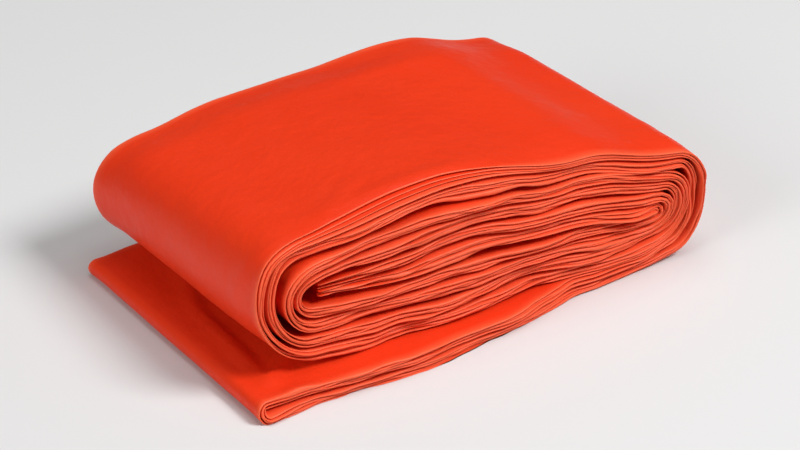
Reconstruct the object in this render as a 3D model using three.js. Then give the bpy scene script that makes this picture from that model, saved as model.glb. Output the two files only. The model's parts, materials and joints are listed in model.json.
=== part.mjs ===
// A bivvy bag of coated film, folded up and lying on a flat surface.
// The flat bag is folded in eight across its width into a long strip, the strip is doubled end
// to end, and the doubled strip is rolled flat from its open ends. The last turn of the roll ends
// in a loose flap on the ground, so the solid is one back-and-forth section of its layers.
// Millimetres. X runs along the layers, Y across the strip with the front at -Y, Z is up.

import * as THREE from 'three';

// The flat bag and the way it is folded
const BAG_WIDTH = 920;
const BAG_LENGTH = 2000;
const FOLDS_ACROSS = 8;
const STRIP_WIDTH = BAG_WIDTH / FOLDS_ACROSS;
const HALF_WIDTH = STRIP_WIDTH / 2;

// One leaf is the strip with its sixteen plies of film and the air between them
const LEAF = 3.0;
const LEAF_GAP = 0.7;
const PASS_GAP = 1.3;
const LEAF_PITCH = LEAF + LEAF_GAP;
const PASS_HEIGHT = LEAF_PITCH + LEAF;
const PASS_PITCH = PASS_HEIGHT + PASS_GAP;
const EDGE_ROUNDING = 1.2;

// Passes of the doubled strip, numbered from the ground up, in the order in which the strip runs
const ROUTE = [1, 6, 2, 5, 3, 4];
const STACK_HEIGHT = ROUTE.length * PASS_PITCH - PASS_GAP;
const FLAP_END = -92.0;

// One row for each turn of the roll, from the outside in: the passes that it joins, its side,
// the place of its centre along X, how far it swells past that centre, and its facets
const TURNS = [
  { joins: [1, 6], side: 1, centre: 74.0, reach: 10.5, facets: 8 },
  { joins: [6, 2], side: -1, centre: -68.5, reach: 16.5, facets: 8 },
  { joins: [2, 5], side: 1, centre: 68.5, reach: 8.5, facets: 7 },
  { joins: [5, 3], side: -1, centre: -64.0, reach: 11.0, facets: 6 },
  { joins: [3, 4], side: 1, centre: 64.5, reach: 4.5, facets: 5 },
];

// How far the edges of each pass are set back from the strip's width at five even places along X,
// from the left end to the right. A value below zero stands proud.
const EDGE_SPAN = 76;
const EDGES = [
  { pass: 1, front: [-6.0, -6.0, -2.5, 5.0, 8.5], back: [3.5, 2.5, 1.0, 0.5, 0.5] },
  { pass: 2, front: [5.5, 5.0, 6.0, 7.0, 7.5], back: [-1.5, -2.5, -2.0, -1.0, -0.5] },
  { pass: 3, front: [6.0, 6.5, 5.0, 6.0, 6.5], back: [-2.5, -1.0, -0.5, -2.0, -1.0] },
  { pass: 4, front: [7.0, 6.0, 6.5, 5.0, 6.0], back: [-0.5, -1.5, -2.5, -1.5, -0.5] },
  { pass: 5, front: [6.0, 7.0, 6.0, 7.0, 6.0], back: [-2.0, -2.0, -1.0, -0.5, -1.5] },
  { pass: 6, front: [8.0, 7.5, 7.5, 7.5, 7.0], back: [-3.0, -2.5, -3.0, -2.0, -1.5] },
];

// The edges also waver: size and length of the wave, and its shift in radians from one pass, leaf
// and edge to the next
const EDGE_WAVE = { size: 0.6, length: 58, passShift: 2.4, leafShift: 1.7, backShift: 1.1 };

// Places where the passes stand open: the pass below, the height of the opening, the place of its
// middle along X, its reach to each side, and its lean to the front (1), the back (-1) or even (0)
const OPENINGS = [
  { above: 1, height: 5.4, middle: -95, reach: 58, lean: 0.55 },
  { above: 2, height: 1.6, middle: -14, reach: 56, lean: 0.4 },
  { above: 2, height: 1.0, middle: 44, reach: 26, lean: 0.2 },
  { above: 3, height: 2.2, middle: 4, reach: 58, lean: 0.5 },
  { above: 4, height: 1.6, middle: -22, reach: 50, lean: 0.4 },
  { above: 4, height: 1.6, middle: 30, reach: 34, lean: -0.2 },
  { above: 5, height: 2.0, middle: -10, reach: 76, lean: 0.4 },
];

// Slow waves that run through the layers: size, length along X, slant across Y in radians per mm,
// starting angle, and the height at which they are strongest
const WAVES = [
  { size: 0.8, length: 64, slant: 0.018, start: 0.4, level: 15 },
  { size: 0.7, length: 47, slant: -0.022, start: 2.1, level: 27 },
  { size: 0.3, length: 83, slant: 0.012, start: 4.0, level: 38 },
];
const WAVE_SPREAD = 9;

// How far the stack above the loose flap swells upwards, at five even places along X on its front
// and back. Its layers share the swell from the second pass to the top one.
const SWELL = { front: [4.0, 7.0, 5.6, 2.6, 0.2], back: [-1.5, 2.6, 3.4, 5.0, 2.6] };
const SWELL_BOTTOM = PASS_PITCH;
const SWELL_TOP = (ROUTE.length - 1) * PASS_PITCH;

// The right end is pressed flatter, lifts off the ground and runs askew, and the shoulders droop
const RIGHT_PRESS = { amount: 0.21, from: 40, to: 102 };
const RIGHT_LIFT = { amount: 4.2, from: 52, to: 94 };
const RIGHT_SKEW = { amount: 0.08, from: 0, to: 88 };
const SHOULDER_DROOP = 2.0;
const SHOULDER_REACH = 20;

// Facets
const RUN_STEP = 13;
const RUN_MARGIN = 4;
const FLAP_FOLD_FACETS = 4;
const INNER_STATIONS = [-41, -14, 14, 41];

const mix = (a, b, t) => a + (b - a) * t;
const smooth = (low, high, value) => THREE.MathUtils.smoothstep(value, low, high);
const passLevel = (pass) => (pass - 1) * PASS_PITCH + PASS_HEIGHT / 2;

// Passes in the upper half of the roll have their outer face up, the others down
const outwardOf = (pass) => (pass > ROUTE.length / 2 ? 1 : -1);

// Values at even places from one end to the other, joined smoothly along X
function alongPass(values, x) {
  const steps = values.length - 1;
  const place = THREE.MathUtils.clamp((x / EDGE_SPAN + 1) / 2, 0, 1) * steps;
  const index = Math.min(Math.floor(place), steps - 1);
  return mix(values[index], values[index + 1], smooth(0, 1, place - index));
}

// Set-back of one edge of a leaf, with a wave of its own for each pass, leaf and edge
function setBack(pass, leaf, edge, x) {
  const { size, length, passShift, leafShift, backShift } = EDGE_WAVE;
  const shift = passShift * pass + leafShift * leaf + (edge === 'back' ? backShift : 0);
  return alongPass(EDGES[pass - 1][edge], x) + size * Math.sin((2 * Math.PI * x) / length + shift);
}

// Height of an opening between two passes at one place in plan
function openingAt(row, x, y) {
  const distance = Math.min(1, Math.abs(x - row.middle) / row.reach);
  const lean = (1 - row.lean * (y / HALF_WIDTH)) / (1 + Math.abs(row.lean));
  return row.height * lean * 0.5 * (1 + Math.cos(Math.PI * distance));
}

// Swell of the stack at one place
function swellAt(x, y, level) {
  const toFront = THREE.MathUtils.clamp((HALF_WIDTH - y) / STRIP_WIDTH, 0, 1);
  const full = mix(alongPass(SWELL.back, x), alongPass(SWELL.front, x), toFront);
  return full * THREE.MathUtils.clamp((level - SWELL_BOTTOM) / (SWELL_TOP - SWELL_BOTTOM), 0, 1);
}

// Takes a point of the evenly stacked roll to where it lies in the settled bundle
function settle(x, y, level) {
  const share = level / STACK_HEIGHT;
  const press = 1 - RIGHT_PRESS.amount * smooth(RIGHT_PRESS.from, RIGHT_PRESS.to, x);
  let z = level * press;
  for (const row of OPENINGS) {
    const gapBottom = (row.above - 1) * PASS_PITCH + PASS_HEIGHT;
    z += openingAt(row, x, y) * smooth(gapBottom, gapBottom + PASS_GAP, level);
  }
  for (const row of WAVES) {
    const strength = Math.exp(-(((level - row.level) / WAVE_SPREAD) ** 2)) * smooth(0, PASS_PITCH, level);
    z += row.size * strength * Math.sin((2 * Math.PI * x) / row.length + row.slant * y + row.start);
  }
  z += RIGHT_LIFT.amount * smooth(RIGHT_LIFT.from, RIGHT_LIFT.to, x);
  const shoulder = smooth(HALF_WIDTH - SHOULDER_REACH, HALF_WIDTH, Math.abs(y));
  z += swellAt(x, y, level) - SHOULDER_DROOP * shoulder * share * share;
  const skew = RIGHT_SKEW.amount * smooth(RIGHT_SKEW.from, RIGHT_SKEW.to, x);
  return new THREE.Vector3(x - skew * y, y, z);
}

// A stop on the route of the doubled strip: the middle of its thickness, the direction of its
// outer face, and the passes between whose edges it lies
function runStops(pass, start, end) {
  const direction = Math.sign(end - start);
  const stops = [];
  const first = Math.ceil((Math.min(start, end) + RUN_MARGIN) / RUN_STEP);
  const last = Math.floor((Math.max(start, end) - RUN_MARGIN) / RUN_STEP);
  const places = [start];
  for (let i = first; i <= last; i += 1) {
    places.push(RUN_STEP * (direction > 0 ? i : first + last - i));
  }
  places.push(end);
  for (const x of places) {
    stops.push({
      middle: [x, passLevel(pass)],
      outward: [0, outwardOf(pass)],
      passes: [pass, pass],
      turned: 0,
    });
  }
  return stops;
}

// The stops of a turn, without its two ends, which belong to the passes
function turnStops(turn) {
  const [from, to] = turn.joins;
  const middleLevel = (passLevel(from) + passLevel(to)) / 2;
  const halfHeight = Math.abs(passLevel(to) - passLevel(from)) / 2;
  const startAngle = to > from ? -Math.PI / 2 : Math.PI / 2;
  const stops = [];
  for (let i = 1; i < turn.facets; i += 1) {
    const turned = i / turn.facets;
    const angle = startAngle * (1 - 2 * turned);
    const outward = [turn.side * Math.cos(angle), Math.sin(angle)];
    stops.push({
      middle: [turn.centre + turn.reach * outward[0], middleLevel + halfHeight * outward[1]],
      outward,
      passes: [from, to],
      turned,
    });
  }
  return stops;
}

// Developed length of a list of stops
function lengthOf(stops) {
  let length = 0;
  for (let i = 1; i < stops.length; i += 1) {
    const [x, z] = stops[i].middle;
    const [lastX, lastZ] = stops[i - 1].middle;
    length += Math.hypot(x - lastX, z - lastZ);
  }
  return length;
}

// The whole route from the loose flap to the core, where the innermost pass uses up the strip
function doubledStripStops() {
  const stops = [];
  let start = FLAP_END;
  ROUTE.forEach((pass, index) => {
    const turn = TURNS[index];
    if (turn) {
      stops.push(...runStops(pass, start, turn.centre));
      stops.push(...turnStops(turn));
      start = turn.centre;
    } else {
      const left = BAG_LENGTH / 2 - lengthOf([...stops, ...runStops(pass, start, start)]);
      stops.push(...runStops(pass, start, start - left));
    }
  });
  return stops;
}

// The single strip: its first leaf from the core out to the flap, the fold at the flap's end, and
// its second leaf back to the core inside the first
function stripSections() {
  const stops = doubledStripStops();
  const sections = [];
  for (const stop of [...stops].reverse()) {
    sections.push({ ...stop, outward: stop.outward, leaves: [0, 0], folded: 0 });
  }
  const flap = stops[0];
  for (let i = 1; i < FLAP_FOLD_FACETS; i += 1) {
    const folded = i / FLAP_FOLD_FACETS;
    const angle = Math.PI * folded;
    const outward = [-Math.sin(angle), -Math.cos(angle)];
    sections.push({ ...flap, outward, leaves: [0, 1], folded });
  }
  for (const stop of stops) {
    const outward = [-stop.outward[0], -stop.outward[1]];
    sections.push({ ...stop, outward, leaves: [1, 1], folded: 0 });
  }
  return sections;
}

// Place of one edge across Y at a section, blended between passes in a turn and between leaves in
// the flap's fold
function edgePlace(section, edge) {
  const x = section.middle[0];
  const [from, to] = section.passes;
  const [first, second] = section.leaves;
  const leafEdge = (leaf) =>
    mix(setBack(from, leaf, edge, x), setBack(to, leaf, edge, x), smooth(0, 1, section.turned));
  const distance = HALF_WIDTH - mix(leafEdge(first), leafEdge(second), section.folded);
  return edge === 'front' ? -distance : distance;
}

// Closed ring of points round the leaf at one section: its outer face from front to back, the
// back edge, its inner face from back to front, and the front edge
function sectionRing(section) {
  const front = edgePlace(section, 'front');
  const back = edgePlace(section, 'back');
  const stations = [front + EDGE_ROUNDING, ...INNER_STATIONS, back - EDGE_ROUNDING];
  const at = (distance, y) => {
    const x = section.middle[0] + section.outward[0] * distance;
    const level = section.middle[1] + section.outward[1] * distance;
    return { x, y, point: settle(x, y, level) };
  };
  const outer = (LEAF_PITCH + LEAF) / 2;
  const inner = (LEAF_PITCH - LEAF) / 2;
  return [
    ...stations.map((y) => at(outer, y)),
    at(LEAF_PITCH / 2, back),
    ...[...stations].reverse().map((y) => at(inner, y)),
    at(LEAF_PITCH / 2, front),
  ];
}

// Two triangles for a four-sided facet, split along the same slant wherever layers face each other
function splitFacet(corners, indices) {
  const [a, b, c, d] = corners;
  const [ia, ib, ic, id] = indices;
  const rising = (c.x - a.x) * (c.y - a.y) > (b.x - d.x) * (b.y - d.y);
  return rising ? [ia, ib, ic, ia, ic, id] : [ia, ib, id, ib, ic, id];
}

// Triangles that close the strip's end across its ring
function capTriangles(ringStart, stationCount, ringSize, facesBack) {
  const triangles = [];
  const outer = (i) => ringStart + i;
  const inner = (i) => ringStart + 2 * stationCount - i;
  for (let i = 0; i + 1 < stationCount; i += 1) {
    triangles.push([outer(i), outer(i + 1), inner(i + 1)], [outer(i), inner(i + 1), inner(i)]);
  }
  const backEdge = ringStart + stationCount;
  const frontEdge = ringStart + ringSize - 1;
  triangles.push([outer(stationCount - 1), backEdge, inner(stationCount - 1)]);
  triangles.push([inner(0), frontEdge, outer(0)]);
  return triangles.flatMap(([a, b, c]) => (facesBack ? [a, b, c] : [a, c, b]));
}

function foldedStripGeometry() {
  const rings = stripSections().map(sectionRing);
  const ringSize = rings[0].length;
  const stationCount = INNER_STATIONS.length + 2;
  const positions = rings.flatMap((ring) => ring.flatMap(({ point }) => point.toArray()));
  const triangles = [];
  for (let i = 0; i + 1 < rings.length; i += 1) {
    for (let j = 0; j < ringSize; j += 1) {
      const k = (j + 1) % ringSize;
      const corners = [rings[i][j], rings[i + 1][j], rings[i + 1][k], rings[i][k]];
      const start = i * ringSize;
      const indices = [start + j, start + ringSize + j, start + ringSize + k, start + k];
      triangles.push(...splitFacet(corners, indices));
    }
  }
  const lastRing = (rings.length - 1) * ringSize;
  triangles.push(...capTriangles(0, stationCount, ringSize, true));
  triangles.push(...capTriangles(lastRing, stationCount, ringSize, false));
  const geometry = new THREE.BufferGeometry();
  geometry.setAttribute('position', new THREE.Float32BufferAttribute(positions, 3));
  geometry.setIndex(triangles);
  return geometry;
}

// The origin is under the middle of the bundle's box, on the ground
function centreOnGround(geometry) {
  geometry.computeBoundingBox();
  const middle = geometry.boundingBox.getCenter(new THREE.Vector3());
  geometry.translate(-middle.x, -middle.y, -geometry.boundingBox.min.z);
  geometry.computeVertexNormals();
  return geometry;
}

const filmMaterial = new THREE.MeshStandardMaterial({ color: '#e5431c', roughness: 0.4, metalness: 0 });
const foldedBag = new THREE.Mesh(centreOnGround(foldedStripGeometry()), filmMaterial);
foldedBag.name = 'folded_bag';

const bundle = new THREE.Group();
bundle.add(foldedBag);

export default bundle;
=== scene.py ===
"""The looks of a folded bivvy bag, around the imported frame.

The film is one flat sheet, the two panels of the bag lying together. It is folded in eight
across its width, doubled end to end and rolled flat by the same rules as the part's solid.
Tables are in millimetres, as in the part's source, and meshes are in metres.
X runs along the layers, Y across the strip with the front at -Y, Z is up.
"""

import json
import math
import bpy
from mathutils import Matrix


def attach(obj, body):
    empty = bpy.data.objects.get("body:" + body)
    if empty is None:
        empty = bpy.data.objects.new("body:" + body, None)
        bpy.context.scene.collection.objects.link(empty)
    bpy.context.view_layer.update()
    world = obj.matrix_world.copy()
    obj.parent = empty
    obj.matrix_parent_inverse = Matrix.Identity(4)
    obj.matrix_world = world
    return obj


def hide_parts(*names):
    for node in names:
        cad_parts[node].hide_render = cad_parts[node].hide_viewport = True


bl_info = {
    "name": "Folded Bivvy Bag",
    "version": (1, 0, 0),
    "blender": (4, 5, 0),
    "location": "View3D > Sidebar > Bivvy Bag",
    "description": "Folds the film of a bivvy bag into its bundle and sets the stage for it",
    "category": "Object",
}

import bpy
import numpy as np
from mathutils import Vector

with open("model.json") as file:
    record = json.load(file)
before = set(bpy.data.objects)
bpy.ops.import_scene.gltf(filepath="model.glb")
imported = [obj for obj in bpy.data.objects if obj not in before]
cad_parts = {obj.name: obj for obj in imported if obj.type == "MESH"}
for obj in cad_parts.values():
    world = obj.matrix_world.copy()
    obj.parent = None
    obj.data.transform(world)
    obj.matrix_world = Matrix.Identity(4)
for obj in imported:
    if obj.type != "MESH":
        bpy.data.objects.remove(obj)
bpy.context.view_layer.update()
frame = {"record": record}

MM = 0.001
FULL_TURN = 2.0 * math.pi
NODE = "folded_bag"
BODY = "root"
FILM_SLOT = "film"

# The strip: the flat bag pleated in eight across its width
PANELS = 8
OUTER_PANEL = PANELS - 1
STRIP_WIDTH = 115.0
HALF_WIDTH = STRIP_WIDTH / 2.0

# One leaf is the strip with its plies and the air between them, and a pass is two leaves
LEAF = 3.0
LEAF_GAP = 0.7
PASS_GAP = 1.3
LEAF_PITCH = LEAF + LEAF_GAP
PASS_HEIGHT = LEAF_PITCH + LEAF
PASS_PITCH = PASS_HEIGHT + PASS_GAP
LEAF_INSIDE = (LEAF_PITCH - LEAF) / 2.0

# Passes of the doubled strip, numbered from the ground up, in the order in which the strip runs
ROUTE = (1, 6, 2, 5, 3, 4)
STACK_HEIGHT = len(ROUTE) * PASS_PITCH - PASS_GAP
FLAP_END = -92.0

# The turns of the roll from the outside in: passes joined, side, centre along X and reach past it
TURNS = (
    {"joins": (1, 6), "side": 1, "centre": 74.0, "reach": 10.5},
    {"joins": (6, 2), "side": -1, "centre": -68.5, "reach": 16.5},
    {"joins": (2, 5), "side": 1, "centre": 68.5, "reach": 8.5},
    {"joins": (5, 3), "side": -1, "centre": -64.0, "reach": 11.0},
    {"joins": (3, 4), "side": 1, "centre": 64.5, "reach": 4.5},
)

# Set-back of each pass's edges at five even places along X, from the left end to the right
EDGE_SPAN = 76.0
EDGES = (
    {"pass": 1, "front": (-6.0, -6.0, -2.5, 5.0, 8.5), "back": (3.5, 2.5, 1.0, 0.5, 0.5)},
    {"pass": 2, "front": (5.5, 5.0, 6.0, 7.0, 7.5), "back": (-1.5, -2.5, -2.0, -1.0, -0.5)},
    {"pass": 3, "front": (6.0, 6.5, 5.0, 6.0, 6.5), "back": (-2.5, -1.0, -0.5, -2.0, -1.0)},
    {"pass": 4, "front": (7.0, 6.0, 6.5, 5.0, 6.0), "back": (-0.5, -1.5, -2.5, -1.5, -0.5)},
    {"pass": 5, "front": (6.0, 7.0, 6.0, 7.0, 6.0), "back": (-2.0, -2.0, -1.0, -0.5, -1.5)},
    {"pass": 6, "front": (8.0, 7.5, 7.5, 7.5, 7.0), "back": (-3.0, -2.5, -3.0, -2.0, -1.5)},
)
EDGE_WAVE = {"size": 0.6, "length": 58.0, "pass_shift": 2.4, "leaf_shift": 1.7, "back_shift": 1.1}

# Places where the passes stand open, with a lean to the front (1) or the back (-1)
OPENINGS = (
    {"above": 1, "height": 5.4, "middle": -95.0, "reach": 58.0, "lean": 0.55},
    {"above": 2, "height": 1.6, "middle": -14.0, "reach": 56.0, "lean": 0.4},
    {"above": 2, "height": 1.0, "middle": 44.0, "reach": 26.0, "lean": 0.2},
    {"above": 3, "height": 2.2, "middle": 4.0, "reach": 58.0, "lean": 0.5},
    {"above": 4, "height": 1.6, "middle": -22.0, "reach": 50.0, "lean": 0.4},
    {"above": 4, "height": 1.6, "middle": 30.0, "reach": 34.0, "lean": -0.2},
    {"above": 5, "height": 2.0, "middle": -10.0, "reach": 76.0, "lean": 0.4},
)

# Slow waves through the layers, each strongest at its own level
WAVES = (
    {"size": 0.8, "length": 64.0, "slant": 0.018, "start": 0.4, "level": 15.0},
    {"size": 0.7, "length": 47.0, "slant": -0.022, "start": 2.1, "level": 27.0},
    {"size": 0.3, "length": 83.0, "slant": 0.012, "start": 4.0, "level": 38.0},
)
WAVE_SPREAD = 9.0

# How far the stack above the flap swells upwards, at five even places along its front and back
SWELL = {"front": (4.0, 7.0, 5.6, 2.6, 0.2), "back": (-1.5, 2.6, 3.4, 5.0, 2.6)}
SWELL_BOTTOM = PASS_PITCH
SWELL_TOP = (len(ROUTE) - 1) * PASS_PITCH

# The right end is pressed flatter, lifts off the ground and runs askew, and the shoulders droop
RIGHT_PRESS = {"amount": 0.21, "start": 40.0, "end": 102.0}
RIGHT_LIFT = {"amount": 4.2, "start": 52.0, "end": 94.0}
RIGHT_SKEW = {"amount": 0.08, "start": 0.0, "end": 88.0}
SHOULDER_DROOP = 2.0
SHOULDER_REACH = 20.0

# Where the part's source puts the middle of its box and the ground
SOURCE_MIDDLE = (-1.786, -1.501, 0.0)

# The film's underside keeps this far above the ground
GROUND_CLEARANCE = 0.03

# The film's net: its steps along the strip, and its places across each kind of panel and fold
RUN_STEP = 2.4
TURN_STEP = 2.2
FLAP_FOLD_STEPS = 8
OUTER_PANEL_STEPS = 38
OUTER_PANEL_EVENNESS = 0.55
PANEL_PLACES = (0.0, 0.05, 0.13, 0.5, 0.9, 1.0)
FOLD_STEPS = 4

# The depth of a fold, and the distances from the leaf's edge over which its plies come to lie
# pressed together, with the outer one standing off the others by a share of the leaf
FOLD_DEPTH = 0.5
PRESSED_FROM = 2.0
PRESSED_TO = 14.0
STAND_OFF = 0.24

# How far the folds at each edge and the bag's free sides are set in, and how far they wander with
# random values at these spacings along the strip, each with its share
WANDER = {"spacings": (34.0, 11.0, 4.6), "shares": (0.5, 0.33, 0.17)}
FRONT_FOLDS = {**WANDER, "set_in": 0.0, "wander": 2.6, "seed": 31}
BACK_FOLDS = {**WANDER, "set_in": 0.0, "wander": 2.2, "seed": 41}
FREE_SIDES = {**WANDER, "set_in": 0.8, "wander": 2.4, "seed": 51}

# The edges of a leaf waver, and near them it is pinched thinner in places
EDGE_WAVER = {"most": 1.3, "spacings": (27.0, 9.0), "shares": (0.65, 0.35), "seed": 91}
PINCH = {"most": 0.38, "reach": 15.0, "spacings": (31.0, 8.5), "shares": (0.55, 0.45), "seed": 61}
# Its plies gather in clumps, flare outwards, and spring open where a fold joins them
CLUMP = {"most": 0.95, "turns": 1.3, "spacings": (45.0, 14.0), "shares": (0.6, 0.4), "seed": 71}
FLARE = {"most": 0.2, "reach": 12.0}
SPRING = {"most": 0.11, "reach": 5.0}
# Both leaves of a pass ride up and down together in the gap between passes
RIDE = {"most": 0.65, "reach": 15.0, "spacings": (33.0, 12.0), "shares": (0.6, 0.4), "seed": 81}

# How the painted highlight along a fold fades off beside it
HIGHLIGHT_FADE = {"share": 0.8, "start": 1.0, "end": 5.0}

# The leaf that wraps the bundle on top lies calm: where it starts, ends and fades along the strip,
# and the share of its unevenness that is left
CALM = {"leaf": 0, "start": 222.0, "end": 352.0, "fade": 26.0, "left": 0.3}
# Along the top's front edge the plies fan out, each one a little further back than the one below
FAN = {"leaf": 0, "middle": 322.0, "reach": 66.0, "most": 6.4}
# The strip's free end at the core is tucked back from the front and pressed thinner, and its
# plies slide past each other and end unevenly
CORE_TUCK = {"most": 3.0, "reach": 34.0}
CORE_PRESS = {"most": 0.45, "reach": 24.0}
CORE_SLIDE = {"least": 1.0, "most": 11.0, "reach": 60.0, "turns": 2.3, "leaf_shift": 2.0}

# The two leaves of the strip draw their unevenness from seeds this far apart, and each seed gives
# this many values
LEAF_SEED = 100
DRAWS = 400

# Soft creases of the outermost ply: leaf, middle along the strip from the flap's end and across it,
# angle from the strip's direction in degrees, length, width, and height above the face
CREASES = (
    (0, 316.0, -39.0, 3.0, 54.0, 3.4, 0.55),
    (0, 338.0, -33.0, -28.0, 30.0, 3.0, 0.4),
    (0, 352.0, 8.0, 82.0, 62.0, 7.0, -0.35),
    (0, 330.0, 24.0, 64.0, 44.0, 8.0, -0.3),
    (0, 268.0, 38.0, 11.0, 46.0, 5.0, 0.35),
    (0, 244.0, -26.0, -22.0, 34.0, 3.6, 0.35),
    (0, 236.0, 12.0, 74.0, 56.0, 6.0, -0.3),
    (0, 378.0, -38.0, 24.0, 26.0, 2.6, 0.6),
    (0, 396.0, -20.0, 86.0, 46.0, 3.4, 0.45),
    (0, 384.0, 26.0, 80.0, 50.0, 5.0, -0.35),
    (0, 196.0, -30.0, 14.0, 34.0, 3.0, 0.5),
    (0, 186.0, 20.0, 84.0, 60.0, 5.0, -0.4),
    (1, 9.0, -18.0, 86.0, 58.0, 2.6, 0.5),
    (1, 18.0, 22.0, 70.0, 40.0, 3.0, 0.4),
    (1, 16.0, -44.0, 34.0, 26.0, 2.6, 0.5),
)

# How many plies below the outermost one its creases and its crinkles fade out
CREASE_FADE = 1.5
CRINKLE_FADE = 0.6

# The film's colour comes from the record. The scales of its patterns are repeats in a metre of the
# flat bag, and the drift of its crinkle's cells and the depth of its bump are in metres
FILM_COLOUR = next(
    tuple(row["base_color"]) for row in frame["record"]["materials"] if row["slot"] == FILM_SLOT
)
TONE_NOISE = {"Scale": 22.0, "Detail": 3.0, "Roughness": 0.5}
GLOSS_NOISE = {"Scale": 70.0, "Detail": 4.0, "Roughness": 0.6}
GLOSS_RANGE = {"From Min": 0.3, "From Max": 0.7}
GLOSS_SPREAD = (-0.06, 0.08)
DRIFT_NOISE = {"Scale": 45.0, "Detail": 2.0}
DRIFT = 0.012
CRINKLE_CELLS = {"Scale": 95.0}
CRINKLE_NOISE = {"Scale": 260.0, "Detail": 3.0, "Roughness": 0.55}
CRINKLE_BUMP = {"Strength": 0.6, "Distance": 0.0005}
FILM_SHINE = {"IOR": 1.5, "Specular IOR Level": 0.2}

# The floor's finish, and its corners about its middle
FLOOR_FINISH = {"Roughness": 0.9, "Specular IOR Level": 0.1}
FLOOR_CORNERS = np.array([(-1.0, -1.0, 0.0), (1.0, -1.0, 0.0), (1.0, 1.0, 0.0), (-1.0, 1.0, 0.0)])

# The even light from all round is white
ROOM_COLOUR = (1.0, 1.0, 1.0)

# Where the camera looks, from how near to how far it sees, and the lights' places from that target
VIEW_TARGET = (-1.49, -0.15, 16.6)
VIEW_REACH = (50.0, 50000.0)
LIGHTS = (
    {"name": "overhead", "place": (150.0, 60.0, 1700.0), "size": 1400.0},
    {"name": "front", "place": (850.0, -1050.0, 1500.0), "size": 800.0},
    {"name": "left", "place": (-1500.0, -300.0, 700.0), "size": 900.0},
)


def smooth(low, high, value):
    share = np.clip((value - low) / (high - low), 0.0, 1.0)
    return share * share * (3.0 - 2.0 * share)


def mix(first, second, share):
    return first + (second - first) * share


def near(distance, reach):
    """Falls from 1 where the distance is 0 to 0 at its reach."""
    return 1.0 - smooth(0.0, reach, distance)


def hill(distance, reach):
    """A round hill: 1 where the distance is 0, and down to 0 at its reach on both sides."""
    return (1.0 + np.cos(math.pi * np.minimum(1.0, np.abs(distance) / reach))) / 2.0


def pass_level(number):
    """Level of the middle of a pass in the evenly stacked roll."""
    return (number - 1) * PASS_PITCH + PASS_HEIGHT / 2.0


def outward_of(number):
    """Passes in the upper half of the roll have their outer face up, the others down."""
    return 1.0 if number > len(ROUTE) / 2 else -1.0


def along_pass(values, x):
    """Values at even places from one end of a pass to the other, joined smoothly."""
    steps = len(values) - 1
    place = np.clip((x / EDGE_SPAN + 1.0) / 2.0, 0.0, 1.0) * steps
    index = np.minimum(place.astype(int), steps - 1)
    values = np.array(values)
    return mix(values[index], values[index + 1], smooth(0.0, 1.0, place - index))


def set_back(number, leaf, edge, x):
    """Set-back of one edge of a leaf in one pass, as in the solid."""
    shift = EDGE_WAVE["pass_shift"] * number + EDGE_WAVE["leaf_shift"] * leaf
    if edge == "back":
        shift = shift + EDGE_WAVE["back_shift"]
    wave = EDGE_WAVE["size"] * np.sin(FULL_TURN * x / EDGE_WAVE["length"] + shift)
    return along_pass(EDGES[number - 1][edge], x) + wave


def opening_at(row, x, y):
    """Height of an opening between two passes at one place in plan."""
    lean = (1.0 - row["lean"] * (y / HALF_WIDTH)) / (1.0 + abs(row["lean"]))
    return row["height"] * lean * hill(x - row["middle"], row["reach"])


def swell_at(x, y, level):
    """Swell of the stack at one place."""
    to_front = np.clip((HALF_WIDTH - y) / STRIP_WIDTH, 0.0, 1.0)
    full = mix(along_pass(SWELL["back"], x), along_pass(SWELL["front"], x), to_front)
    return full * np.clip((level - SWELL_BOTTOM) / (SWELL_TOP - SWELL_BOTTOM), 0.0, 1.0)


def settle(x, y, level):
    """Takes points of the evenly stacked roll to where they lie in the settled bundle."""
    share = level / STACK_HEIGHT
    z = level * (1.0 - RIGHT_PRESS["amount"] * smooth(RIGHT_PRESS["start"], RIGHT_PRESS["end"], x))
    for row in OPENINGS:
        gap_bottom = (row["above"] - 1) * PASS_PITCH + PASS_HEIGHT
        z = z + opening_at(row, x, y) * smooth(gap_bottom, gap_bottom + PASS_GAP, level)
    for row in WAVES:
        strength = np.exp(-(((level - row["level"]) / WAVE_SPREAD) ** 2))
        strength = strength * smooth(0.0, PASS_PITCH, level)
        phase = FULL_TURN * x / row["length"] + row["slant"] * y + row["start"]
        z = z + row["size"] * strength * np.sin(phase)
    z = z + RIGHT_LIFT["amount"] * smooth(RIGHT_LIFT["start"], RIGHT_LIFT["end"], x)
    shoulder = smooth(HALF_WIDTH - SHOULDER_REACH, HALF_WIDTH, np.abs(y))
    z = z + swell_at(x, y, level) - SHOULDER_DROOP * shoulder * share * share
    skew = RIGHT_SKEW["amount"] * smooth(RIGHT_SKEW["start"], RIGHT_SKEW["end"], x)
    return np.stack([x - skew * y, y, z], axis=-1)


def station(middle, outward, passes, turned):
    """One place on the doubled strip: the middle of its thickness and its outer direction."""
    return {"middle": middle, "outward": outward, "passes": passes, "turned": turned, "folded": 0.0}


def run_stations(number, start, end):
    count = max(1, math.ceil(abs(end - start) / RUN_STEP))
    outward = (0.0, outward_of(number))
    return [
        station((float(x), pass_level(number)), outward, (number, number), 0.0)
        for x in np.linspace(start, end, count + 1)
    ]


def turn_stations(turn):
    """Stations of a turn without its two ends, which belong to the passes."""
    first, last = (pass_level(number) for number in turn["joins"])
    half_height = abs(last - first) / 2.0
    rim = math.pi * math.sqrt((half_height**2 + turn["reach"] ** 2) / 2.0)
    count = math.ceil(rim / TURN_STEP)
    start_angle = -math.pi / 2.0 if last > first else math.pi / 2.0
    stations = []
    for index in range(1, count):
        turned = index / count
        angle = start_angle * (1.0 - 2.0 * turned)
        outward = (turn["side"] * math.cos(angle), math.sin(angle))
        x = turn["centre"] + turn["reach"] * outward[0]
        level = (first + last) / 2.0 + half_height * outward[1]
        stations.append(station((x, level), outward, turn["joins"], turned))
    return stations


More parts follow.
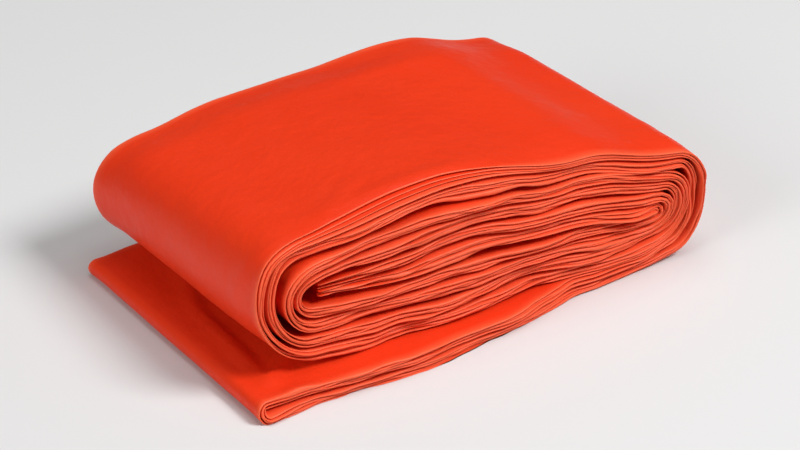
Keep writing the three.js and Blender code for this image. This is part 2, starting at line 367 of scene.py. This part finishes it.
def lengths_along(stations):
    """Developed length of the route up to each of its stations."""
    places = np.array([row["middle"] for row in stations])
    steps = np.hypot(*np.diff(places, axis=0).T)
    return np.concatenate([[0.0], np.cumsum(steps)])


def doubled_stations(half_length):
    """The doubled strip from the loose flap to the core, where the last pass uses it up."""
    stations = []
    start = FLAP_END
    for number, turn in zip(ROUTE, TURNS):
        stations += run_stations(number, start, turn["centre"])
        stations += turn_stations(turn)
        start = turn["centre"]
    last = ROUTE[-1]
    core_start = station((start, pass_level(last)), (0.0, outward_of(last)), (last, last), 0.0)
    left = half_length - lengths_along(stations + [core_start])[-1]
    return stations + run_stations(last, start, start - left)


def strip_stations(half_length):
    """The single strip: a leaf from the core out to the flap, the fold, and a leaf back in."""
    doubled = doubled_stations(half_length)
    along = lengths_along(doubled)
    strip = []
    for row, place in zip(doubled[::-1], along[::-1]):
        strip.append({**row, "along": place, "leaves": (0, 0)})
    for index in range(1, FLAP_FOLD_STEPS):
        folded = index / FLAP_FOLD_STEPS
        angle = math.pi * folded
        outward = (-math.sin(angle), -math.cos(angle))
        turned_over = {"outward": outward, "along": 0.0, "leaves": (0, 1), "folded": folded}
        strip.append({**doubled[0], **turned_over})
    for row, place in zip(doubled, along):
        outward = (-row["outward"][0], -row["outward"][1])
        strip.append({**row, "outward": outward, "along": place, "leaves": (1, 1)})
    return strip


def uneven(place, spacing, seed):
    """Smooth random values from -1 to 1 along the strip, a new one about every spacing."""
    draws = np.random.default_rng(seed).uniform(-1.0, 1.0, DRAWS)
    steps = place / spacing
    index = np.floor(steps).astype(int)
    return mix(draws[index], draws[index + 1], smooth(0.0, 1.0, steps - index))


def edge_places(strip, edge):
    """Place across Y of one edge of the leaf at each station."""
    x = np.array([row["middle"][0] for row in strip])
    turned = smooth(0.0, 1.0, np.array([row["turned"] for row in strip]))
    folded = np.array([row["folded"] for row in strip])
    ends = {}
    for leaf in (0, 1):
        by_pass = {number: set_back(number, leaf, edge, x) for number in ROUTE}
        first, last = (
            np.array([by_pass[row["passes"][end]][index] for index, row in enumerate(strip)])
            for end in (0, 1)
        )
        ends[leaf] = mix(first, last, turned)
    first_leaf = np.array([row["leaves"][0] for row in strip])
    base = mix(np.where(first_leaf == 0, ends[0], ends[1]), ends[1], folded)
    return HALF_WIDTH - base


def outer_panel_places():
    """Places across the outermost panel, closer together towards its edges."""
    even = np.linspace(0.0, 1.0, OUTER_PANEL_STEPS + 1)
    return tuple(mix((1.0 - np.cos(math.pi * even)) / 2.0, even, OUTER_PANEL_EVENNESS))


def film_columns():
    """Columns of the film's net across the bag: its panels and the folds between them."""
    columns = []
    for panel in range(PANELS):
        places = outer_panel_places() if panel == OUTER_PANEL else PANEL_PLACES
        for place in places[::-1] if panel % 2 == 0 else places:
            columns.append({"panel": panel, "place": place})
        if panel + 1 < PANELS:
            for index in range(1, FOLD_STEPS):
                columns.append({"fold": panel, "round": index / FOLD_STEPS})
    return columns


class Leaf:
    """The strip's cross-section at every station. Panels are numbered from its inner face out."""

    def __init__(self, strip):
        self.along = np.array([row["along"] for row in strip])
        self.leaf = np.array([mix(*row["leaves"], row["folded"]) for row in strip])
        self.life = 1.0 - (1.0 - CALM["left"]) * self.calm()
        self.front = EDGE_WAVER["most"] * self.wave(EDGE_WAVER, 0) - edge_places(strip, "front")
        self.back = edge_places(strip, "back") - EDGE_WAVER["most"] * self.wave(EDGE_WAVER, 1)
        fanned = hill(self.along - FAN["middle"], FAN["reach"])
        self.fan = FAN["most"] * fanned * self.is_on(FAN["leaf"])
        self.left = self.along.max() - self.along
        self.tuck = CORE_TUCK["most"] * near(self.left, CORE_TUCK["reach"])

    def is_on(self, number):
        """Which stations lie on one of the strip's two leaves."""
        return np.abs(self.leaf - number) < 0.5

    def calm(self):
        """How calm the leaf lies, from 0 to 1."""
        started = smooth(CALM["start"] - CALM["fade"], CALM["start"], self.along)
        ended = smooth(CALM["end"], CALM["end"] + CALM["fade"], self.along)
        return started * (1.0 - ended) * self.is_on(CALM["leaf"])

    def wave(self, row, number=0, shared=False):
        """Sum of uneven values along the strip, the same or different on its two leaves."""
        seed = row["seed"] + number
        total = np.zeros_like(self.along)
        for layer, (spacing, share) in enumerate(zip(row["spacings"], row["shares"])):
            first = uneven(self.along, spacing, (seed, layer))
            second = first if shared else uneven(self.along, spacing, (seed + LEAF_SEED, layer))
            total = total + share * mix(first, second, self.leaf)
        return total * self.life

    def set_in(self, row, number):
        """How far one fold or free side lies in from the leaf's edge."""
        return row["set_in"] + row["wander"] * (1.0 + self.wave(row, number)) / 2.0

    def fold(self, number):
        """Tip across Y and inward direction of the fold between a panel and the next."""
        if number % 2 == 0:
            fanned = self.fan * (number + 1) / OUTER_PANEL
            return self.front + self.set_in(FRONT_FOLDS, number) + fanned + self.tuck, 1.0
        return self.back - self.set_in(BACK_FOLDS, number), -1.0

    def panel_ends(self, panel):
        """Where the flat part of a panel starts at the front and ends at the back."""
        tip, inward = self.fold(panel - panel % 2)
        front_end = tip + inward * FOLD_DEPTH
        if panel in (0, OUTER_PANEL):
            return front_end, self.back - self.set_in(FREE_SIDES, panel)
        tip, inward = self.fold(panel if panel % 2 else panel - 1)
        return front_end, tip + inward * FOLD_DEPTH

    def column(self, column):
        """Place across Y and level among the plies of one column of the net."""
        if "panel" in column:
            start, end = self.panel_ends(column["panel"])
            y = mix(start, end, column["place"])
            return y, float(column["panel"])
        tip, inward = self.fold(column["fold"])
        angle = math.pi * column["round"]
        y = tip + inward * FOLD_DEPTH * (1.0 - math.sin(angle))
        return y, column["fold"] + (1.0 - math.cos(angle)) / 2.0

    def height(self, y, level):
        """Height of a ply above the leaf's inner face."""
        share = level / OUTER_PANEL
        phase = FULL_TURN * (CLUMP["turns"] * share + self.wave(CLUMP))
        gather = CLUMP["most"] / (FULL_TURN * CLUMP["turns"]) * math.sin(math.pi * share)
        loose = share + gather * np.sin(phase)
        pressed = mix(share, smooth(OUTER_PANEL - 1.0, OUTER_PANEL, level), STAND_OFF)
        inset = smooth(PRESSED_FROM, PRESSED_TO, np.minimum(y - self.front, self.back - y))
        height = LEAF * mix(loose, pressed, inset)
        middle = LEAF / 2.0
        outward = 1.0 - 2.0 * self.leaf
        for edge, distance in enumerate((y - self.front, self.back - y)):
            pinched = PINCH["most"] * (1.0 + self.wave(PINCH, edge)) / 2.0
            height = middle + (height - middle) * (1.0 - pinched * near(distance, PINCH["reach"]))
            height = height * (1.0 + FLARE["most"] * self.life * near(distance, FLARE["reach"]))
            sprung = SPRING["most"] * math.cos(math.pi * (level + 1 - edge))
            height = height + sprung * near(distance, SPRING["reach"])
            ride = RIDE["most"] * self.wave(RIDE, edge, shared=True) * outward
            height = height + ride * near(distance, RIDE["reach"])
        return height

    def slide(self, level):
        """How far a ply runs on past the strip's even end."""
        shift = CORE_SLIDE["leaf_shift"] * self.leaf
        share = (1.0 + np.sin(FULL_TURN * CORE_SLIDE["turns"] * level / OUTER_PANEL + shift)) / 2.0
        return mix(CORE_SLIDE["least"], CORE_SLIDE["most"], share) * near(self.left, CORE_SLIDE["reach"])

    def pressed_core(self):
        """Share of its thickness that the doubled strip keeps towards its free end."""
        return 1.0 - CORE_PRESS["most"] * near(self.left, CORE_PRESS["reach"])

    def fold_highlight(self, y, level):
        """How much painted highlight the film gets along a fold: fully in the folds, fading off beside
        them.
        """
        if level != round(level):
            return np.ones_like(y)
        distance = np.minimum(y - self.front, self.back - y)
        return HIGHLIGHT_FADE["share"] * (1.0 - smooth(HIGHLIGHT_FADE["start"], HIGHLIGHT_FADE["end"], distance))

    def creased(self, y, level):
        """Height of the soft creases of the outermost ply."""
        total = np.zeros_like(y)
        for leaf, along, across, degrees, length, width, height in CREASES:
            angle = math.radians(degrees)
            dx = self.along - along
            dy = y - across
            down = dx * math.cos(angle) + dy * math.sin(angle)
            off = dy * math.cos(angle) - dx * math.sin(angle)
            shape = np.exp(-((off / width) ** 2) - (down / (length / 2.0)) ** 4)
            total = total + height * shape * self.is_on(leaf)
        return total * smooth(OUTER_PANEL - CREASE_FADE, OUTER_PANEL, level)


def film_net(half_length):
    """The film's points in metres, their shares across and down the flat bag, levels and painted fold
    highlights.
    """
    strip = strip_stations(half_length)
    columns = film_columns()
    leaf = Leaf(strip)
    middle = np.array([row["middle"] for row in strip])
    outward = np.array([row["outward"] for row in strip])
    grid, flat, levels, folds = [], [], [], []
    for column in columns:
        y, level = leaf.column(column)
        height = leaf.height(y, level) + leaf.creased(y, level)
        distance = (LEAF_INSIDE + height) * leaf.pressed_core()
        x = middle[:, 0] + outward[:, 0] * distance - leaf.slide(level)
        stacked = middle[:, 1] + outward[:, 1] * distance
        grid.append(settle(x, y, stacked))
        flat.append(np.stack([y, height], axis=-1))
        levels.append(np.full_like(y, level))
        # Share of painted highlight along the folds and the leaf edges beside them
        folds.append(leaf.fold_highlight(y, level))
    points = (np.stack(grid, axis=1) - np.array(SOURCE_MIDDLE)) * MM
    across = np.linalg.norm(np.diff(np.stack(flat, axis=1), axis=1), axis=2).mean(axis=0)
    across = np.concatenate([[0.0], np.cumsum(across)])
    down = lengths_along(strip)
    shares = (across / across[-1], down / down[-1])
    return points, shares, np.stack(levels, axis=1), np.stack(folds, axis=1)


def grid_faces(rows, columns):
    corner = np.arange((rows - 1) * columns).reshape(rows - 1, columns)[:, :-1].ravel()
    return np.stack([corner, corner + 1, corner + columns + 1, corner + columns], axis=1)


def mesh_from(name, points, faces):
    mesh = bpy.data.meshes.new(name)
    mesh.vertices.add(len(points))
    mesh.vertices.foreach_set("co", points.astype(np.float32).ravel())
    mesh.loops.add(faces.size)
    mesh.loops.foreach_set("vertex_index", faces.astype(np.int32).ravel())
    mesh.polygons.add(len(faces))
    mesh.polygons.foreach_set("loop_start", np.arange(0, faces.size, 4, dtype=np.int32))
    mesh.update(calc_edges=True)
    mesh.validate()
    mesh.shade_smooth()
    return mesh


def add_node(tree, kind, inputs=None, **settings):
    """Adds a node, sets its properties, and links or sets its inputs by name or number."""
    node = tree.nodes.new(kind)
    for key, value in settings.items():
        setattr(node, key, value)
    for key, value in (inputs or {}).items():
        if isinstance(value, bpy.types.NodeSocket):
            tree.links.new(value, node.inputs[key])
        else:
            node.inputs[key].default_value = value
    return node


def calculate(tree, operation, first, second):
    """Adds a Math node and gives its result."""
    return add_node(tree, "ShaderNodeMath", {0: first, 1: second}, operation=operation).outputs[0]


def blend(tree, share, first, second):
    """Adds a node that blends two colours and gives its result."""
    inputs = {"Factor": share, "A": first, "B": second}
    return add_node(tree, "ShaderNodeMix", inputs, data_type="RGBA").outputs["Result"]


def noise(tree, place, pattern, **settings):
    return add_node(tree, "ShaderNodeTexNoise", {"Vector": place, **pattern}, **settings)


def film_shade(tree, spot, settings):
    """Faint tone changes, and a painted highlight in a paler colour along the folds."""
    tone = noise(tree, spot, TONE_NOISE).outputs["Fac"]
    shade = blend(tree, tone, (*settings.deep_colour, 1.0), (*settings.film_colour, 1.0))
    # Painted highlight: the folds and the leaf edges beside them are blended towards a paler colour
    folds = add_node(tree, "ShaderNodeAttribute", attribute_name="fold_highlight")
    highlighted = calculate(tree, "MULTIPLY", folds.outputs["Fac"], settings.highlight_strength)
    return blend(tree, highlighted, shade, (*settings.highlight_colour, 1.0))


def film_roughness(tree, spot, settings):
    """Satin that is a little glossier in some places than in others."""
    low, high = (settings.roughness + change for change in GLOSS_SPREAD)
    gloss = noise(tree, spot, GLOSS_NOISE).outputs["Fac"]
    inputs = {"Value": gloss, **GLOSS_RANGE, "To Min": low, "To Max": high}
    return add_node(tree, "ShaderNodeMapRange", inputs).outputs["Result"]


def film_bump(tree, spot):
    """A fine crinkle of drifting cells."""
    drift = noise(tree, spot, DRIFT_NOISE).outputs["Color"]
    moved = add_node(tree, "ShaderNodeVectorMath", {0: drift, "Scale": DRIFT}, operation="SCALE")
    bent = add_node(tree, "ShaderNodeVectorMath", {0: spot, 1: moved.outputs[0]}, operation="ADD")
    inputs = {"Vector": bent.outputs[0], **CRINKLE_CELLS}
    cells = add_node(tree, "ShaderNodeTexVoronoi", inputs, feature="SMOOTH_F1")
    fine = noise(tree, spot, CRINKLE_NOISE).outputs["Fac"]
    crinkle = calculate(tree, "ADD", cells.outputs["Distance"], fine)
    return add_node(tree, "ShaderNodeBump", {"Height": crinkle, **CRINKLE_BUMP}).outputs["Normal"]


def film_material(settings):
    """Satin orange film, patterned on the flat bag."""
    material = bpy.data.materials.new("orange_film")
    material.use_nodes = True
    tree = material.node_tree
    tree.nodes.clear()
    layout = add_node(tree, "ShaderNodeUVMap", uv_map="flat_bag")
    inputs = {"Vector": layout.outputs["UV"], "Scale": (settings.bag_width, settings.bag_length, 1.0)}
    spot = add_node(tree, "ShaderNodeMapping", inputs).outputs["Vector"]
    inputs = {
        "Base Color": film_shade(tree, spot, settings),
        "Roughness": film_roughness(tree, spot, settings),
        "Normal": film_bump(tree, spot),
        **FILM_SHINE,
    }
    shader = add_node(tree, "ShaderNodeBsdfPrincipled", inputs)
    add_node(tree, "ShaderNodeOutputMaterial", {"Surface": shader.outputs["BSDF"]})
    return material


def attribute_of(tree, name, kind):
    """Adds a node that reads one of the mesh's attributes and gives its values."""
    inputs = {"Name": name}
    return add_node(tree, "GeometryNodeInputNamedAttribute", inputs, data_type=kind).outputs["Attribute"]


def crinkle_tree():
    """Geometry Nodes that raise soft, uneven crinkles on the plies that lie open."""
    tree = bpy.data.node_groups.new("film_crinkle", "GeometryNodeTree")
    face = tree.interface
    for name, kind in (
        ("Film", "Geometry"),
        ("Crinkle height", "Float"),
        ("Crinkle length", "Float"),
        ("Seed", "Int"),
        ("Film material", "Material"),
    ):
        socket = face.new_socket(name, in_out="INPUT", socket_type="NodeSocket" + kind)
        if kind == "Float":
            socket.subtype = "DISTANCE"
    face.new_socket("Film", in_out="OUTPUT", socket_type="NodeSocketGeometry")
    given = add_node(tree, "NodeGroupInput").outputs
    place = attribute_of(tree, "flat_place", "FLOAT_VECTOR")
    lies_open = attribute_of(tree, "lies_open", "FLOAT")
    per_metre = calculate(tree, "DIVIDE", 1.0, given["Crinkle length"])
    pattern = {"W": given["Seed"], "Scale": per_metre, "Detail": 1.0}
    crinkle = noise(tree, place, pattern, noise_dimensions="4D")
    centred = calculate(tree, "SUBTRACT", crinkle.outputs["Fac"], 0.5)
    sized = calculate(tree, "MULTIPLY", centred, given["Crinkle height"])
    masked = calculate(tree, "MULTIPLY", sized, lies_open)
    normal = add_node(tree, "GeometryNodeInputNormal").outputs["Normal"]
    offset = add_node(tree, "ShaderNodeVectorMath", {0: normal, "Scale": masked}, operation="SCALE")
    inputs = {"Geometry": given["Film"], "Offset": offset.outputs[0]}
    moved = add_node(tree, "GeometryNodeSetPosition", inputs).outputs["Geometry"]
    real = add_node(tree, "GeometryNodeRealizeInstances", {"Geometry": moved}).outputs["Geometry"]
    inputs = {"Geometry": real, "Material": given["Film material"]}
    finished = add_node(tree, "GeometryNodeSetMaterial", inputs)
    add_node(tree, "NodeGroupOutput", {"Film": finished.outputs["Geometry"]})
    return tree


def run_tree(made, tree, values):
    """Runs a tree on an object and leaves a plain mesh in place of the modifier."""
    modifier = made.modifiers.new(tree.name, "NODES")
    modifier.node_group = tree
    for item in tree.interface.items_tree:
        if item.in_out == "INPUT" and item.name in values:
            modifier[item.identifier] = values[item.name]
    depsgraph = bpy.context.evaluated_depsgraph_get()
    result = bpy.data.meshes.new_from_object(made.evaluated_get(depsgraph))
    made.modifiers.remove(modifier)
    before = made.data
    made.data = result
    bpy.data.meshes.remove(before)
    made.data.name = made.name


def keep_above_ground(mesh):
    """Presses what reaches the ground flat on it."""
    points = np.empty(3 * len(mesh.vertices), dtype=np.float32)
    mesh.vertices.foreach_get("co", points)
    points[2::3] = np.maximum(points[2::3], GROUND_CLEARANCE * MM)
    mesh.vertices.foreach_set("co", points)
    mesh.update()


def add_attribute(mesh, name, kind, values):
    attribute = mesh.attributes.new(name, kind, "POINT")
    field = "vector" if kind == "FLOAT_VECTOR" else "value"
    attribute.data.foreach_set(field, values.astype(np.float32).ravel())


def studio_world(settings):
    """Faint even light, with the pale backdrop in the camera's sight alone."""
    world = bpy.data.worlds.new("studio")
    world.use_nodes = True
    tree = world.node_tree
    tree.nodes.clear()
    shades = []
    for colour, strength in ((ROOM_COLOUR, settings.room_light), (settings.backdrop_colour, 1.0)):
        inputs = {"Color": (*colour, 1.0), "Strength": strength}
        shades.append(add_node(tree, "ShaderNodeBackground", inputs).outputs["Background"])
    sight = add_node(tree, "ShaderNodeLightPath").outputs["Is Camera Ray"]
    both = add_node(tree, "ShaderNodeMixShader", {0: sight, 1: shades[0], 2: shades[1]})
    add_node(tree, "ShaderNodeOutputWorld", {"Surface": both.outputs["Shader"]})
    return world


def soft_light(row, power, aim):
    """Round soft light, turned towards the bundle."""
    lamp = bpy.data.lights.new(row["name"], "AREA")
    lamp.shape = "DISK"
    lamp.size = row["size"] * MM
    lamp.energy = power
    holder = bpy.data.objects.new(row["name"], lamp)
    holder.location = aim + Vector(row["place"]) * MM
    holder.rotation_mode = "QUATERNION"
    holder.rotation_quaternion = (aim - holder.location).to_track_quat("-Z", "Y")
    return holder


def colour_choice(**words):
    """A colour that a user can change."""
    return bpy.props.FloatVectorProperty(subtype="COLOR", size=3, min=0.0, max=1.0, **words)


def light_power(**words):
    """A light's power that a user can change."""
    return bpy.props.FloatProperty(min=0.0, unit="POWER", **words)


class BIVVY_PG_film(bpy.types.PropertyGroup):
    bag_width: bpy.props.FloatProperty(
        name="Bag width",
        description="Width of the flat bag",
        default=0.92,
        min=0.5,
        unit="LENGTH",
    )
    bag_length: bpy.props.FloatProperty(
        name="Bag length",
        description="Length of the flat bag",
        default=2.0,
        min=1.9,
        max=2.06,
        unit="LENGTH",
    )
    film_colour: colour_choice(
        name="Film colour",
        description="Colour of the film where it lies smooth",
        default=FILM_COLOUR,
    )
    deep_colour: colour_choice(
        name="Deeper tone",
        description="Colour of the film in its redder areas",
        default=(0.77, 0.034, 0.007),
    )
    # Colour and strength of the painted highlight along the folds
    highlight_colour: colour_choice(
        name="Fold colour",
        description="Paler colour of the film along its folds",
        default=(0.92, 0.15, 0.06),
    )
    highlight_strength: bpy.props.FloatProperty(
        name="Fold paleness",
        description="How much of the paler colour shows along the folds",
        subtype="FACTOR",
        default=0.75,
        min=0.0,
        max=1.0,
    )
    roughness: bpy.props.FloatProperty(
        name="Roughness",
        description="Roughness of the satin film",
        subtype="FACTOR",
        default=0.42,
        min=0.1,
        max=0.9,
    )
    crinkle_height: bpy.props.FloatProperty(
        name="Crinkle height",
        description="Height of the soft crinkles of the plies that lie open",
        default=0.0003,
        min=0.0,
        max=0.001,
        precision=5,
        unit="LENGTH",
    )
    crinkle_length: bpy.props.FloatProperty(
        name="Crinkle length",
        description="Usual distance between crinkles",
        default=0.018,
        min=0.008,
        precision=4,
        unit="LENGTH",
    )
    crinkle_seed: bpy.props.IntProperty(
        name="Crinkle seed",
        description="Chooses the pattern of the crinkles",
        default=4,
        min=0,
    )


class BIVVY_PG_stage(bpy.types.PropertyGroup):
    floor_colour: colour_choice(
        name="Floor colour",
        description="Colour of the plain floor",
        default=(0.69, 0.69, 0.69),
    )
    floor_size: bpy.props.FloatProperty(
        name="Floor size",
        description="Side of the square floor",
        default=8.0,
        min=1.0,
        unit="LENGTH",
    )
    backdrop_colour: colour_choice(
        name="Backdrop colour",
        description="Colour that the camera sees past the floor",
        default=(0.82, 0.82, 0.82),
    )
    room_light: bpy.props.FloatProperty(
        name="Room light",
        description="Strength of the even light from all round",
        default=0.05,
        min=0.0,
    )
    overhead_power: light_power(
        name="Overhead light",
        description="Power of the wide soft light above the bundle",
        default=10.5,
    )
    front_power: light_power(
        name="Front light",
        description="Power of the soft light in front of the layered side",
        default=36.0,
    )
    left_power: light_power(
        name="Left light",
        description="Power of the soft light beside the left fold",
        default=12.0,
    )
    view_azimuth: bpy.props.FloatProperty(
        name="View azimuth",
        description="Direction from which the camera looks, round the bundle",
        default=math.radians(-33.1),
        subtype="ANGLE",
    )
    view_elevation: bpy.props.FloatProperty(
        name="View elevation",
        description="Height of the camera above the horizon",
        default=math.radians(29.2),
        subtype="ANGLE",
    )
    view_distance: bpy.props.FloatProperty(
        name="View distance",
        description="Distance of the camera from the bundle",
        default=1.15,
        min=0.3,
        unit="LENGTH",
    )
    lens: bpy.props.FloatProperty(
        name="Lens",
        description="Focal length of the camera",
        default=152.2,
        min=20.0,
        unit="CAMERA",
    )


class BIVVY_OT_fold_film(bpy.types.Operator):
    """Fold the film of the bag, double it end to end and roll it flat"""

    bl_idname = "bivvy.fold_film"
    bl_label = "Fold the Film"

    def execute(self, context):
        settings = context.scene.bivvy_film
        points, shares, levels, folds = film_net(settings.bag_length / MM / 2.0)
        faces = grid_faces(*levels.shape)
        mesh = mesh_from("bag_film", points.reshape(-1, 3), faces)
        grid = np.stack(np.meshgrid(*shares), axis=-1)
        layout = mesh.uv_layers.new(name="flat_bag")
        layout.data.foreach_set("uv", grid.reshape(-1, 2)[faces.ravel()].astype(np.float32).ravel())
        flat = np.dstack([grid * (settings.bag_width, settings.bag_length), np.zeros(levels.shape)])
        add_attribute(mesh, "flat_place", "FLOAT_VECTOR", flat)
        lies_open = smooth(OUTER_PANEL - CRINKLE_FADE, OUTER_PANEL, levels)
        add_attribute(mesh, "lies_open", "FLOAT", lies_open)
        # The painted highlight along the folds is carried in this attribute
        add_attribute(mesh, "fold_highlight", "FLOAT", folds)
        film = bpy.data.objects.new("bag_film", mesh)
        context.scene.collection.objects.link(film)
        values = {
            "Crinkle height": settings.crinkle_height,
            "Crinkle length": settings.crinkle_length,
            "Seed": settings.crinkle_seed,
            "Film material": film_material(settings),
        }
        run_tree(film, crinkle_tree(), values)
        if len(film.data.polygons) != len(faces):
            raise RuntimeError("the film lost faces while it was crinkled")
        keep_above_ground(film.data)
        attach(film, BODY)
        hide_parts(NODE)
        return {"FINISHED"}


class BIVVY_OT_set_stage(bpy.types.Operator):
    """Lay the pale floor, hang the soft lights and place the camera"""

    bl_idname = "bivvy.set_stage"
    bl_label = "Set the Stage"

    def execute(self, context):
        settings = context.scene.bivvy_stage
        corners = FLOOR_CORNERS * settings.floor_size / 2.0
        floor = bpy.data.objects.new("floor", mesh_from("floor", corners, np.array([[0, 1, 2, 3]])))
        context.scene.collection.objects.link(floor)
        paint = bpy.data.materials.new("pale_floor")
        paint.use_nodes = True
        shader = paint.node_tree.nodes["Principled BSDF"]
        shader.inputs["Base Color"].default_value = (*settings.floor_colour, 1.0)
        for name, value in FLOOR_FINISH.items():
            shader.inputs[name].default_value = value
        floor.data.materials.append(paint)

        context.scene.world = studio_world(settings)
        context.scene.view_settings.view_transform = "Standard"
        aim = Vector(VIEW_TARGET) * MM
        powers = {
            "overhead": settings.overhead_power,
            "front": settings.front_power,
            "left": settings.left_power,
        }
        for row in LIGHTS:
            context.scene.collection.objects.link(soft_light(row, powers[row["name"]], aim))

        azimuth, elevation = settings.view_azimuth, settings.view_elevation
        back = Vector(
            (
                math.sin(azimuth) * math.cos(elevation),
                -math.cos(azimuth) * math.cos(elevation),
                math.sin(elevation),
            )
        )
        lens = bpy.data.cameras.new("camera")
        lens.lens = settings.lens
        lens.clip_start, lens.clip_end = (distance * MM for distance in VIEW_REACH)
        camera = bpy.data.objects.new("camera", lens)
        camera.location = aim + back * settings.view_distance
        camera.rotation_mode = "QUATERNION"
        camera.rotation_quaternion = (-back).to_track_quat("-Z", "Y")
        context.scene.collection.objects.link(camera)
        context.scene.camera = camera
        return {"FINISHED"}


class BIVVY_PT_bundle(bpy.types.Panel):
    bl_label = "Bivvy Bag"
    bl_idname = "BIVVY_PT_bundle"
    bl_space_type = "VIEW_3D"
    bl_region_type = "UI"
    bl_category = "Bivvy Bag"

    def draw(self, context):
        for group, operator in (
            (context.scene.bivvy_stage, BIVVY_OT_set_stage),
            (context.scene.bivvy_film, BIVVY_OT_fold_film),
        ):
            box = self.layout.box()
            for name in type(group).__annotations__:
                box.prop(group, name)
            box.operator(operator.bl_idname)


CLASSES = (
    BIVVY_PG_film,
    BIVVY_PG_stage,
    BIVVY_OT_set_stage,
    BIVVY_OT_fold_film,
    BIVVY_PT_bundle,
)


def register():
    for item in CLASSES:
        bpy.utils.register_class(item)
    bpy.types.Scene.bivvy_film = bpy.props.PointerProperty(type=BIVVY_PG_film)
    bpy.types.Scene.bivvy_stage = bpy.props.PointerProperty(type=BIVVY_PG_stage)


def unregister():
    del bpy.types.Scene.bivvy_stage
    del bpy.types.Scene.bivvy_film
    for item in reversed(CLASSES):
        bpy.utils.unregister_class(item)


def main():
    register()
    bpy.ops.bivvy.set_stage()
    bpy.ops.bivvy.fold_film()


if __name__ == "__main__":
    main()
